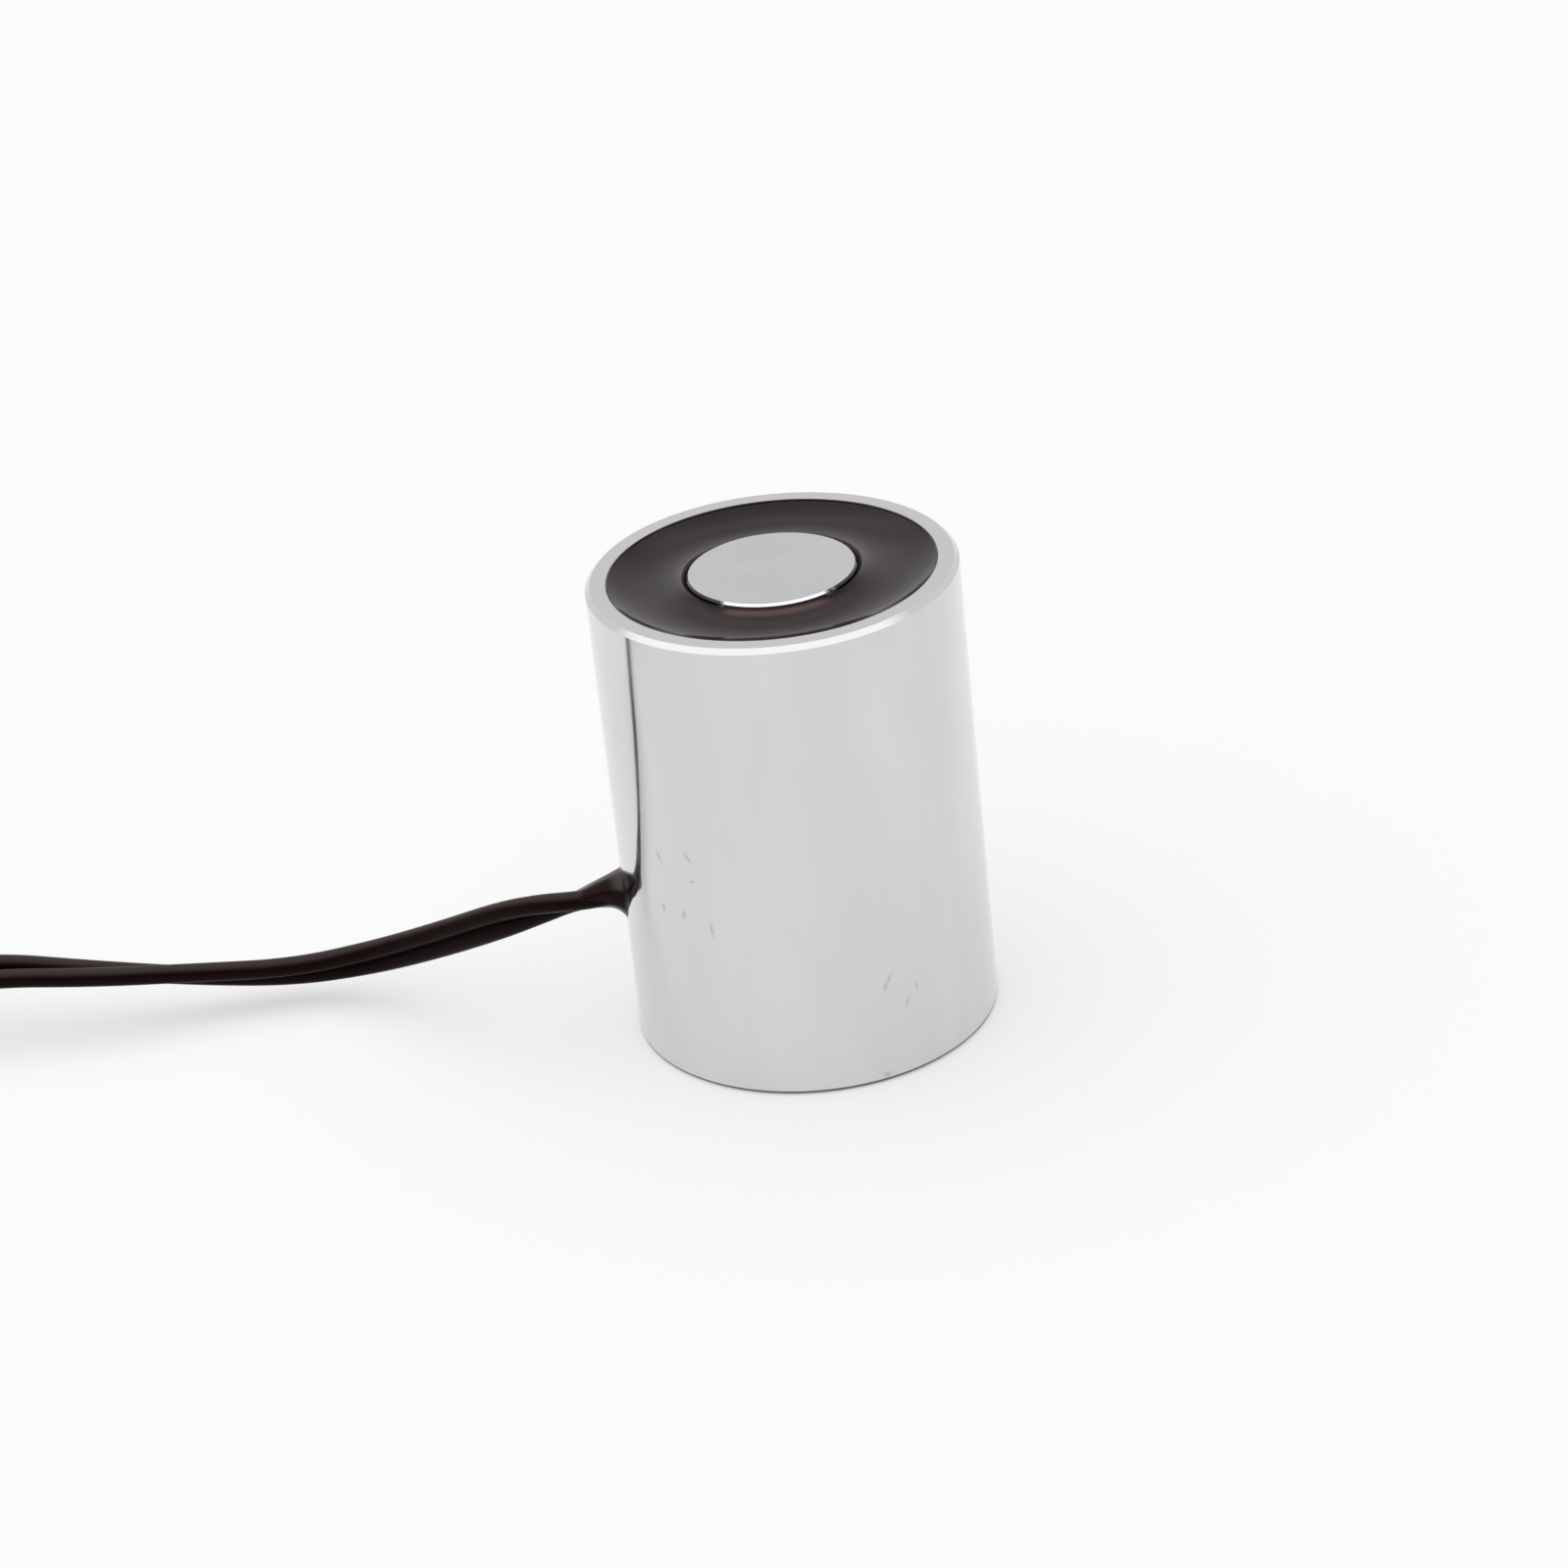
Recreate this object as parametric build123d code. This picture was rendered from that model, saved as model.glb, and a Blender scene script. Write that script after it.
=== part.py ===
from build123d import *
import os
from math import cosh, radians, tan

os.makedirs("parts", exist_ok=True)

# Frame: millimetres, +Z up to the pole face, origin at the centre of the mounting face,
# the leads leave the housing on the -X side

# Housing: a steel cup, turned from bar, 30 mm across
housing_h = 40.0
wall = 1.8
base_t = 8.0
rim_chamfer = 0.4
rim_inner_break = 0.05
foot_chamfer = 0.25

# Core: a steel rod with a spigot pressed into the base and tapped M4 from the back
core_d = 13.7
core_edge_break = 0.18
spigot_d = 8.0
press_gap = 0.01
thread_bore_d = 3.3
thread_mouth_d = 4.4
thread_depth = 7.0
drill_point_angle = 118.0

# Bobbin: a moulded former that slips over the core
core_gap = 0.15
hub_wall = 0.8
flange_t = 1.0
flange_gap = 0.3
cover_depth = 3.2
slot_w = 0.9

# Winding, the tape round it and the space for the joints outside them
winding_t = 3.4
tape_t = 0.2
lead_space = 1.8
tape_step = 1.2

# Potting: the face is a trough, drawn up at the wall and less far up at the core
wall_meniscus_gap = 0.15
core_meniscus_gap = 0.45
meniscus_rise = 0.75
capillary_length = 1.85

# Leads: two stranded wires with their own insulation
lead_d = 1.65
conductor_d = 0.76
magnet_wire_d = 0.3
wire_bend = 0.2
strand_bends = (0.45, 1.2)
bend_share = 0.45

# Exit: a drilled hole closed with glue that is drawn out along the leads
exit_z = 13.0
exit_hole_d = 4.0
# Distance from the wall, lift over the leads' middle, half width across both leads, half height
seal_sections = [
    (-0.50, 0.15, 2.75, 2.60),
    (0.38, 0.36, 2.12, 1.80),
    (1.26, 0.42, 1.92, 1.34),
    (2.14, 0.34, 1.82, 1.14),
    (3.02, 0.20, 1.74, 0.96),
    (3.90, 0.00, 1.62, 0.80),
]

# Joints between the leads and the magnet wire, side by side under the housing wall
sleeve_d = 1.4
sleeve_bore_d = 1.16
sleeve_overlap = 0.8
sleeve_gap = 0.05
joint_rise = 3.5
joint_length = 2.4
joint_d = 1.1
joint_y = 0.95
conductor_jog = 1.6

# Put-away coil: the two leads lie one on the other, in an outer and an inner turn
layer_low_z = 1.2
layer_high_z = 2.9
turn_outer_r = 9.2
turn_pitch = 1.7
coil_edge_r = 0.8
lead_in_length = 6.5
tail_bend_r = 4.95
tail_turn = 120.0
tail_a_start = 0.0
tail_b_start = -30.0
tail_b_tilt = -3.0
tail_inset = 0.1
tinned_length = 5.5

# Cable tie round the coil
tie_w = 2.4
tie_t = 0.35
tie_at = 205.0
tie_head = (1.7, 3.0, 2.6)
tie_head_edge = 0.4

# Sizes that follow from those above, from the core outwards
core_r = core_d / 2
hub_bore_r = core_r + core_gap
hub_r = hub_bore_r + hub_wall
winding_r = hub_r + winding_t
tape_r = winding_r + tape_t
cavity_r = tape_r + lead_space
housing_r = cavity_r + wall
spigot_r = spigot_d / 2
thread_r = thread_bore_d / 2
mouth_r = thread_mouth_d / 2
flange_r = cavity_r - flange_gap
bobbin_top = housing_h - cover_depth
winding_low = base_t + flange_t
winding_high = bobbin_top - flange_t
lead_r = lead_d / 2
joint_x = -(tape_r + sleeve_gap + sleeve_d / 2)
joint_z = exit_z + joint_rise
turn_inner_r = turn_outer_r - turn_pitch
exit_hole_r = exit_hole_d / 2
sleeve_length = joint_length + 2 * sleeve_overlap

# Routes of the leads: distance from the housing's side, Y and Z
lead_a_route = [
    (-wall, -0.78, exit_z + 0.4),
    (1.5, -0.72, exit_z + 0.08),
    (4.1, -0.18, exit_z - 0.26),
    (6.9, 0.95, exit_z - 0.65),
    (10.3, 3.2, 11.0),
    (15.7, 7.5, 7.6),
    (21.4, 11.4, 4.6),
    (28.5, 12.7, 3.3),
    (36.5, 12.4, 4.3),
    (45.1, 11.9, 5.5),
    (54.1, 12.9, 6.4),
    (62.0, 14.4, 5.2),
    (70.0, 15.8, 3.3),
    (78.0, 16.4, 1.3),
    (84.5, 16.5, layer_low_z),
    (90.5, 16.5, layer_low_z),
]
lead_b_route = [
    (-wall, 0.78, exit_z - 0.4),
    (1.5, 0.82, exit_z - 0.7),
    (4.1, 1.42, exit_z - 1.08),
    (6.9, 2.15, exit_z - 2.25),
    (10.5, 4.0, 8.8),
    (15.9, 8.3, 5.5),
    (21.6, 12.3, 2.7),
    (28.5, 13.7, 1.9),
    (36.5, 13.8, 3.2),
    (44.9, 13.7, 5.2),
    (53.9, 14.7, 7.0),
    (62.0, 16.2, 6.0),
    (70.0, 17.5, 4.1),
    (78.0, 18.1, 2.8),
    (84.5, 16.5, layer_high_z),
    (90.5, 16.5, layer_high_z),
]


# A solid turned about the Z axis from points of radius and height
def turned(*outline):
    return revolve(Plane.XZ * make_face(Polyline(*outline, close=True)), Axis.Z)


# The places of a route in the part's frame
def placed(route):
    return [(-housing_r - away, y, z) for away, y, z in route]


# The largest arc that each corner's two runs allow
def bend_radii(points):
    runs = [Vector(*end) - Vector(*start) for start, end in zip(points, points[1:])]
    return [
        bend_share * min(one.length, two.length) / tan(radians(one.get_angle(two) / 2))
        for one, two in zip(runs, runs[1:])
    ]


def rounded_path(points):
    return FilletPolyline(*points, radius=bend_radii(points))


# A round rod or wire along a path
def rod(path, radius):
    return sweep(Plane(path @ 0, z_dir=path % 0) * Circle(radius), path)


# A rod along straight runs with the same small bend at each corner
def bent_rod(points, radius, bend):
    return rod(FilletPolyline(*points, radius=bend), radius)


# Steel cup with the hole for the core's spigot and the drilled lead exit
def make_housing():
    cup = turned(
        (spigot_r + press_gap, 0),
        (housing_r - foot_chamfer, 0),
        (housing_r, foot_chamfer),
        (housing_r, housing_h - rim_chamfer),
        (housing_r - rim_chamfer, housing_h),
        (cavity_r + rim_inner_break, housing_h),
        (cavity_r, housing_h - rim_inner_break),
        (cavity_r, base_t),
        (spigot_r + press_gap, base_t),
    )
    drill = Cylinder(exit_hole_r, 2 * wall)
    return cup - Pos(-housing_r + wall / 2, 0, exit_z) * Rot(0, 90, 0) * drill


# Pole rod: shoulder on the base, spigot flush with the back, blind tapped hole
def make_core():
    cone_h = thread_r / tan(radians(drill_point_angle / 2))
    return turned(
        (mouth_r, 0),
        (spigot_r, 0),
        (spigot_r, base_t),
        (core_r, base_t),
        (core_r, housing_h - core_edge_break),
        (core_r - core_edge_break, housing_h),
        (0, housing_h),
        (0, thread_depth + cone_h),
        (thread_r, thread_depth),
        (thread_r, mouth_r - thread_r),
    )


# Former with two flanges and a slot for the start of the winding
def make_bobbin():
    former = turned(
        (hub_bore_r, base_t),
        (flange_r, base_t),
        (flange_r, winding_low),
        (hub_r, winding_low),
        (hub_r, winding_high),
        (flange_r, winding_high),
        (flange_r, bobbin_top),
        (hub_bore_r, bobbin_top),
    )
    slot_length = cavity_r - hub_r
    slot = Box(slot_length, slot_w, 2 * flange_t)
    return former - Pos(-hub_r - slot_length / 2, joint_y, bobbin_top) * slot


# Ring between two radii and two heights
def ring(inner_r, outer_r, low, high):
    return turned((inner_r, low), (outer_r, low), (outer_r, high), (inner_r, high))


# Bare strands inside the housing, from the end of the insulation up to the joint
def make_inner_end(start, side):
    _, y, z = start
    points = [
        start,
        (joint_x, y, z),
        (joint_x, side * joint_y, z + conductor_jog),
        (joint_x, side * joint_y, joint_z),
    ]
    return rod(FilletPolyline(*points, radius=strand_bends), conductor_d / 2)


# Drop of solder that tapers from the strands to the magnet wire
def make_solder_joint(side):
    bulge = ThreePointArc(
        (conductor_d / 2, 0),
        (joint_d / 2, 0.4 * joint_length),
        (magnet_wire_d / 2, joint_length),
    )
    back = Polyline(bulge @ 1, (0, joint_length), (0, 0), bulge @ 0)
    drop = revolve(Plane.XZ * make_face(bulge + back), Axis.Z)
    return Pos(joint_x, side * joint_y, joint_z) * drop


def sleeve_place(side):
    return Pos(joint_x, side * joint_y, joint_z - sleeve_overlap)


# Insulating sleeve over a joint
def make_sleeve(side):
    return sleeve_place(side) * ring(sleeve_bore_d / 2, sleeve_d / 2, 0, sleeve_length)


# Magnet wire from the winding's outside, over the tape's edge and down to joint A
def make_finish_wire(winding):
    top = winding_high - tape_step / 2
    points = [
        (joint_x, -joint_y, joint_z + joint_length),
        (joint_x, -joint_y, top),
        (-winding_r + magnet_wire_d, -joint_y, top),
    ]
    return bent_rod(points, magnet_wire_d / 2, wire_bend) - winding


# Magnet wire from the winding's inside, through the flange's slot and down to joint B
def make_start_wire():
    top = bobbin_top - flange_t / 2
    inner_x = -(hub_r + slot_w / 2)
    points = [
        (joint_x, joint_y, joint_z + joint_length),
        (joint_x, joint_y, top),
        (inner_x, joint_y, top),
        (inner_x, joint_y, winding_high),
    ]
    return bent_rod(points, magnet_wire_d / 2, wire_bend)


# Glue: a plug in the drilled hole and a funnel that is drawn out round both leads
def make_seal(path_a, path_b, conductors):
    sections = []
    for away, lift, half_width, half_height in seal_sections:
        along = (away + wall) / path_a.length
        point_a, point_b = path_a @ along, path_b @ along
        middle = (point_a + point_b) / 2 + Vector(0, 0, lift)
        plane = Plane(middle, x_dir=point_a - point_b, z_dir=path_a % along)
        sections.append(plane * SlotOverall(2 * half_width, 2 * half_height))
    funnel = loft(sections) - Cylinder(housing_r, 2 * housing_h)
    plug = Pos(-housing_r + wall / 2, 0, exit_z) * Rot(0, 90, 0) * Cylinder(exit_hole_r, 2 * wall)
    plug = plug & ring(cavity_r, housing_r, 0, housing_h)
    glue = funnel + plug
    for conductor in conductors:
        glue -= conductor
    return glue


# Face of the potting: a hanging-chain curve between the core and the wall
def potting_height(radius):
    middle = (cavity_r + core_r) / 2
    half = (cavity_r - core_r) / 2
    across = (radius - core_r) / (cavity_r - core_r)
    gap = core_meniscus_gap + across * (wall_meniscus_gap - core_meniscus_gap)
    steep = cosh((radius - middle) / capillary_length) - 1
    return housing_h - gap - meniscus_rise * (1 - steep / (cosh(half / capillary_length) - 1))


# Epoxy that fills what the other pieces leave free inside the cup
def make_potting(pieces):
    steps = 8
    radii = [core_r + (cavity_r - core_r) * step / steps for step in range(steps + 1)]
    face = Spline(*[(radius, potting_height(radius)) for radius in radii])
    sides = Polyline(
        face @ 1,
        (cavity_r, base_t),
        (hub_r, base_t),
        (hub_r, bobbin_top),
        (core_r, bobbin_top),
        face @ 0,
    )
    fill = revolve(Plane.XZ * make_face(face + sides), Axis.Z)
    for piece in pieces:
        fill -= piece
    return fill


coil_place = Pos(placed(lead_a_route)[-1][0] - lead_in_length, lead_a_route[-1][1] - turn_outer_r, 0)
coil_size = turn_pitch + lead_d
coil_mid_z = (layer_low_z + layer_high_z) / 2


# Where a lead's last turn bends into the eye of the coil, heading along +Y
def tail_place(start, height, tilt):
    return coil_place * Rot(0, 0, start) * Pos(turn_inner_r + tail_inset, 0, height) * Rot(0, tilt, 0)


tail_arc = CenterArc((-tail_bend_r, 0), tail_bend_r, 0, tail_turn)
tail_a = tail_place(tail_a_start, layer_low_z + tail_inset, 0)
tail_b = tail_place(tail_b_start, layer_high_z - tail_inset, tail_b_tilt)


# Outer shape of the coiled leads: the turns, the straight lead-in and the two tails
def make_coil():
    turn_r = (turn_outer_r + turn_inner_r) / 2
    section = Pos(turn_r, coil_mid_z) * RectangleRounded(coil_size, coil_size, coil_edge_r)
    turns = revolve(Plane.XZ * section, Axis.Z)
    lead_in = Plane.YZ * Pos(turn_outer_r, coil_mid_z) * RectangleRounded(lead_d, coil_size, coil_edge_r)
    coil = coil_place * (turns + extrude(lead_in, lead_in_length))
    for tail in (tail_a, tail_b):
        coil += tail * rod(tail_arc, lead_r)
    return coil


# Stripped end of a lead: tinned strands in line with the tail
def make_tinned_end(tail):
    end = Plane(tail_arc @ 1, z_dir=tail_arc % 1)
    return tail * extrude(end * Circle(conductor_d / 2), tinned_length)


# Nylon tie that goes round the turns, with its lock on the outside
def make_tie(coil):
    outer = coil_size + 2 * tie_t
    turn_r = (turn_outer_r + turn_inner_r) / 2
    band = Pos(turn_r, 0, coil_mid_z) * Rot(90, 0, 0) * extrude(
        RectangleRounded(outer, outer, coil_edge_r), tie_w / 2, both=True
    )
    lock = fillet(Box(*tie_head).edges(), tie_head_edge)
    lock = Pos(turn_r + outer / 2 + tie_head[0] / 2 - tie_t, 0, coil_mid_z) * lock
    return coil_place * Rot(0, 0, tie_at) * (band + lock) - coil


path_a = rounded_path(placed(lead_a_route))
path_b = rounded_path(placed(lead_b_route))
lead_a = rod(path_a, lead_r)
lead_b = rod(path_b, lead_r)
winding = ring(hub_r, winding_r, winding_low, winding_high)
tape = ring(winding_r, tape_r, winding_low, winding_high - tape_step)
bobbin = make_bobbin()
inner_end_a = make_inner_end(placed(lead_a_route)[0], -1) - lead_a
inner_end_b = make_inner_end(placed(lead_b_route)[0], 1) - lead_b
finish_wire = make_finish_wire(winding)
start_wire = make_start_wire()
coil = make_coil()
conductors = [lead_a, lead_b, inner_end_a, inner_end_b]
seal = make_seal(path_a, path_b, conductors)
sleeve_cores = [sleeve_place(side) * ring(0, sleeve_d / 2, 0, sleeve_length) for side in (-1, 1)]
embedded = [bobbin, winding, tape, finish_wire, start_wire, *conductors, *sleeve_cores]

nodes = {
    "housing": make_housing(),
    "core": make_core(),
    "bobbin": bobbin,
    "winding": winding,
    "winding_tape": tape,
    "start_wire": start_wire,
    "finish_wire": finish_wire,
    "solder_joint_a": make_solder_joint(-1),
    "solder_joint_b": make_solder_joint(1),
    "joint_sleeve_a": make_sleeve(-1),
    "joint_sleeve_b": make_sleeve(1),
    "lead_a_inner_end": inner_end_a,
    "lead_b_inner_end": inner_end_b,
    "potting": make_potting(embedded),
    "lead_seal": seal,
    "lead_a": lead_a,
    "lead_b": lead_b,
    "lead_coil": coil,
    "lead_a_tinned_end": make_tinned_end(tail_a),
    "lead_b_tinned_end": make_tinned_end(tail_b),
    "coil_tie": make_tie(coil),
}
for name, shape in nodes.items():
    export_step(shape, f"parts/{name}.step")

for name, route, path, tube in (
    ("lead_a", lead_a_route, path_a, lead_a),
    ("lead_b", lead_b_route, path_b, lead_b),
):
    section_volume = Circle(lead_r).area * path.length
    print(name, "bend radii", [round(radius, 1) for radius in bend_radii(placed(route))])
    print(name, "length", round(path.length, 1), "volume over section", round(tube.volume / section_volume, 4))
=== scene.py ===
import bmesh
import bpy
import math
from mathutils import Matrix, Vector


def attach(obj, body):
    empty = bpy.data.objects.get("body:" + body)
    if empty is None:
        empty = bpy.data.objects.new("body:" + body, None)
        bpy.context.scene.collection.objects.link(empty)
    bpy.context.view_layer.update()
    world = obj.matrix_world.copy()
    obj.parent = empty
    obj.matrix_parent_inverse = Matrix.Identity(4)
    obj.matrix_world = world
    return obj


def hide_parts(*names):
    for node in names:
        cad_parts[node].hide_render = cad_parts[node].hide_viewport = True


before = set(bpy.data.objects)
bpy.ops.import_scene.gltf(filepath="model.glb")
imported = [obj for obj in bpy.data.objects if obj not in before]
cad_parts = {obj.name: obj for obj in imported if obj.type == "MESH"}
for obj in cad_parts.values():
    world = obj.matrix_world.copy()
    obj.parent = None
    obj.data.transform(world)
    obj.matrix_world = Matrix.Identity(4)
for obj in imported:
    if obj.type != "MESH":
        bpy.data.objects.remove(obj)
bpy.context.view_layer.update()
mm = 0.001
scene = bpy.context.scene
scene.view_settings.view_transform = "Standard"
print("frame loaded,", len(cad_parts), "nodes")

# the magnet's own sizes in mm, as in the part
housing = {"radius": 15.0, "height": 40.0}
poleRadius = 6.85


def toLinear(hexColour):
    parts = [int(hexColour[i:i + 2], 16) / 255 for i in (1, 3, 5)]
    return [p / 12.92 if p <= 0.04045 else ((p + 0.055) / 1.055) ** 2.4 for p in parts] + [1.0]


# adds a node with its settings (sockets or properties) and its links
def addNode(tree, kind, settings={}, links={}):
    node = tree.nodes.new("ShaderNode" + kind)
    for name, value in settings.items():
        if isinstance(name, int) or name in node.inputs:
            node.inputs[name].default_value = value
        else:
            setattr(node, name, value)
    for name, output in links.items():
        tree.links.new(output, node.inputs[name])
    return node


# a new material with its surface shader set up
def newMaterial(name, **sockets):
    material = bpy.data.materials.new(name)
    material.use_nodes = True
    tree = material.node_tree
    shader = tree.nodes["Principled BSDF"]
    for socket, value in sockets.items():
        shader.inputs[socket.replace("_", " ")].default_value = value
    return material, tree, shader


# lays colours or numbers over a first one, each where its mask is 1, and returns the result's output
def layOver(tree, under, *layers):
    for over, mask in layers:
        isColour = isinstance(over, str)
        mix = addNode(tree, "Mix", {"data_type": "RGBA" if isColour else "FLOAT"}, {0: mask})
        for socket, value in zip((6, 7) if isColour else (2, 3), (under, over)):
            if isinstance(value, str):
                mix.inputs[socket].default_value = toLinear(value)
            elif isinstance(value, float):
                mix.inputs[socket].default_value = value
            else:
                tree.links.new(value, mix.inputs[socket])
        under = mix.outputs[2 if isColour else 0]
    return under


# settings of a Map Range node that rises smoothly from 0 at the first value to 1 at the second
def rising(low, high):
    return {"interpolation_type": "SMOOTHSTEP", "From Min": low, "From Max": high}


# the place of a surface point in mm: X, Y, Z
def placeInMm(tree):
    coords = addNode(tree, "TexCoord").outputs["Object"]
    return addNode(tree, "VectorMath", {"operation": "SCALE", "Scale": 1 / mm}, {0: coords})


# distance from the Z axis in mm
def radiusInMm(tree, place):
    flat = addNode(tree, "VectorMath", {"operation": "MULTIPLY", 1: (1, 1, 0)}, {0: place.outputs[0]})
    return addNode(tree, "VectorMath", {"operation": "LENGTH"}, {0: flat.outputs[0]}).outputs["Value"]


# cosine of the angle round the Z axis from a surface point to an azimuth in degrees
def cosineTo(tree, place, radius, azimuth):
    a = math.radians(azimuth)
    toward = addNode(tree, "VectorMath", {"operation": "DOT_PRODUCT", 1: (math.cos(a), math.sin(a), 0)},
                     {0: place.outputs[0]})
    return addNode(tree, "Math", {"operation": "DIVIDE"},
                   {0: toward.outputs["Value"], 1: radius}).outputs[0]


# how far the surface faces upward: -1 straight down, 1 straight up
def upwardness(tree):
    normal = addNode(tree, "TexCoord").outputs["Normal"]
    return addNode(tree, "SeparateXYZ", links={0: normal}).outputs["Z"]


# how level the surface lies: 0 on a side, 1 on an end face
def levelness(tree):
    return addNode(tree, "Math", {"operation": "ABSOLUTE"}, {0: upwardness(tree)}).outputs[0]


# a wave from -1 to 1 that repeats every so many mm
def waveEvery(tree, value, spacing):
    turns = addNode(tree, "Math", {"operation": "MULTIPLY", 1: 2 * math.pi / spacing}, {0: value})
    return addNode(tree, "Math", {"operation": "SINE"}, {0: turns.outputs[0]}).outputs[0]


# what every mottled surface shares
mottle = {"detail": 4.0, "secondColour": (0.3, 0.7), "bump": 0.4}


# a surface whose colour and roughness vary a little with a grain of a given size in mm
def mottled(name, colours, roughness, grain, relief, stretch=(1, 1, 1), **sockets):
    material, tree, shader = newMaterial(name, **sockets)
    scaled = addNode(tree, "Mapping", {"Scale": [1 / grain / s for s in stretch]},
                     {"Vector": placeInMm(tree).outputs[0]})
    noise = addNode(tree, "TexNoise", {"Scale": 1.0, "Detail": mottle["detail"]},
                    {"Vector": scaled.outputs[0]}).outputs["Fac"]
    second = addNode(tree, "MapRange", rising(*mottle["secondColour"]), {"Value": noise}).outputs[0]
    tree.links.new(layOver(tree, colours[0], (colours[1], second)), shader.inputs["Base Color"])
    low, high = roughness
    rough = addNode(tree, "MapRange", {"To Min": low, "To Max": high}, {"Value": noise})
    tree.links.new(rough.outputs[0], shader.inputs["Roughness"])
    bump = addNode(tree, "Bump", {"Strength": mottle["bump"], "Distance": relief * mm}, {"Height": noise})
    tree.links.new(bump.outputs[0], shader.inputs["Normal"])
    return material


def dress(name, material):
    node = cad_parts[name]
    node.data.materials.clear()
    node.data.materials.append(material)


# camera: its place and its axes, fitted to the cylinder's edges in the photograph
view = {
    "place": (-23.17, -331.34, 191.10),     # mm
    "right": (0.98838, -0.11662, -0.09751),
    "up": (0.13980, 0.44547, 0.88432),
    "lens": 105.1,                          # mm, as the sensor's width
    "sensor": 36,
}


def makeCamera():
    right, up = Vector(view["right"]), Vector(view["up"])
    back = right.cross(up)
    camera = bpy.data.objects.new("camera", bpy.data.cameras.new("camera"))
    camera.data.lens = view["lens"]
    camera.data.sensor_width = view["sensor"]
    camera.data.clip_start = 10 * mm
    turn = Matrix((right, up, back)).transposed().to_4x4()
    camera.matrix_world = Matrix.Translation(Vector(view["place"]) * mm) @ turn
    scene.collection.objects.link(camera)
    scene.camera = camera


makeCamera()
print("camera placed")

# PVC insulation: extruded, brown-black and satin, with a painted sheen that lightens the upper side
leadPvc = {
    "colour": "#1a0504",
    "dark": "#110302",
    "paintedSheen": "#3b3230",
    "paintedSheenFrom": (0.48, 0.90),    # how far upward the surface faces where it begins and is full
    "roughness": (0.33, 0.43),
    "ior": 1.62,
    "shine": 0.045,
    "dieMarks": 0.8,              # mm between faint marks of the extrusion
    "relief": 0.02,               # mm
    "bump": 0.25,
}


def makeLeadPvc():
    material, tree, shader = newMaterial(
        "pvcBrownBlackExtruded", IOR=leadPvc["ior"], Specular_IOR_Level=leadPvc["shine"])
    drag = addNode(tree, "TexNoise", {"Scale": 1 / leadPvc["dieMarks"], "Detail": 3.0},
                   {"Vector": placeInMm(tree).outputs[0]}).outputs["Fac"]
    # painted sheen: a lighter colour on the upper side, where the light from above falls
    above = addNode(tree, "MapRange", rising(*leadPvc["paintedSheenFrom"]), {"Value": upwardness(tree)}).outputs[0]
    colour = layOver(tree, leadPvc["dark"], (leadPvc["colour"], drag), (leadPvc["paintedSheen"], above))
    tree.links.new(colour, shader.inputs["Base Color"])
    low, high = leadPvc["roughness"]
    rough = addNode(tree, "MapRange", {"To Min": low, "To Max": high}, {"Value": drag})
    tree.links.new(rough.outputs[0], shader.inputs["Roughness"])
    bump = addNode(tree, "Bump", {"Strength": leadPvc["bump"], "Distance": leadPvc["relief"] * mm},
                   {"Height": drag})
    tree.links.new(bump.outputs[0], shader.inputs["Normal"])
    return material


# the two leads and their put-away coil, in mm and degrees
leads = {
    "diameter": 1.65,
    "length": 200.0,
    "roundSteps": 8,
    "stepsAlong": 12,             # from one point of the route to the next
    "coilEye": (-112.0, 7.3),     # X and Y of the coil's middle
    "lowLayer": 1.2,              # height of the printed lead's turns
    "highLayer": 2.9,             # and of the plain one's
    "outerTurn": 9.2,             # radius
    "innerTurn": 7.5,
    "firstAzimuth": 90.0,
    "lastAzimuths": (720.0, 690.0),    # of the printed lead's turns and of the plain one's
    "movesIn": (360.0, 440.0),    # azimuths between which a lead goes from the outer to the inner turn
    "pointsPerTurn": 16,
    "tailBend": 4.95,             # radius of the last bend, into the eye
    "tailTurn": 120.0,
    "tailPoints": 6,
    "tailInset": 0.1,
    "tailTilt": -3.0,             # of the plain lead's end
}
# their routes: distance from the housing's side, Y and Z in mm
routeA = [
    (-1.8, -0.78, 13.4),
    (1.5, -0.72, 13.08),
    (4.1, -0.18, 12.74),
    (6.9, 0.95, 12.35),
    (10.3, 3.2, 11.0),
    (15.7, 7.5, 7.6),
    (21.4, 11.4, 4.6),
    (28.5, 12.7, 3.3),
    (36.5, 12.4, 4.3),
    (45.1, 11.9, 5.5),
    (54.1, 12.9, 6.4),
    (62.0, 14.4, 5.2),
    (70.0, 15.8, 3.3),
    (78.0, 16.4, 1.3),
    (84.5, 16.5, 1.2),
    (90.5, 16.5, 1.2),
]
routeB = [
    (-1.8, 0.78, 12.6),
    (1.5, 0.82, 12.3),
    (4.1, 1.42, 11.92),
    (6.9, 2.15, 10.75),
    (10.5, 4.0, 8.8),
    (15.9, 8.3, 5.5),
    (21.6, 12.3, 2.7),
    (28.5, 13.7, 1.9),
    (36.5, 13.8, 3.2),
    (44.9, 13.7, 5.2),
    (53.9, 14.7, 7.0),
    (62.0, 16.2, 6.0),
    (70.0, 17.5, 4.1),
    (78.0, 18.1, 2.8),
    (84.5, 16.5, 2.9),
    (90.5, 16.5, 2.9),
]


def easing(share):
    share = min(max(share, 0.0), 1.0)
    return share * share * (3 - 2 * share)


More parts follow.
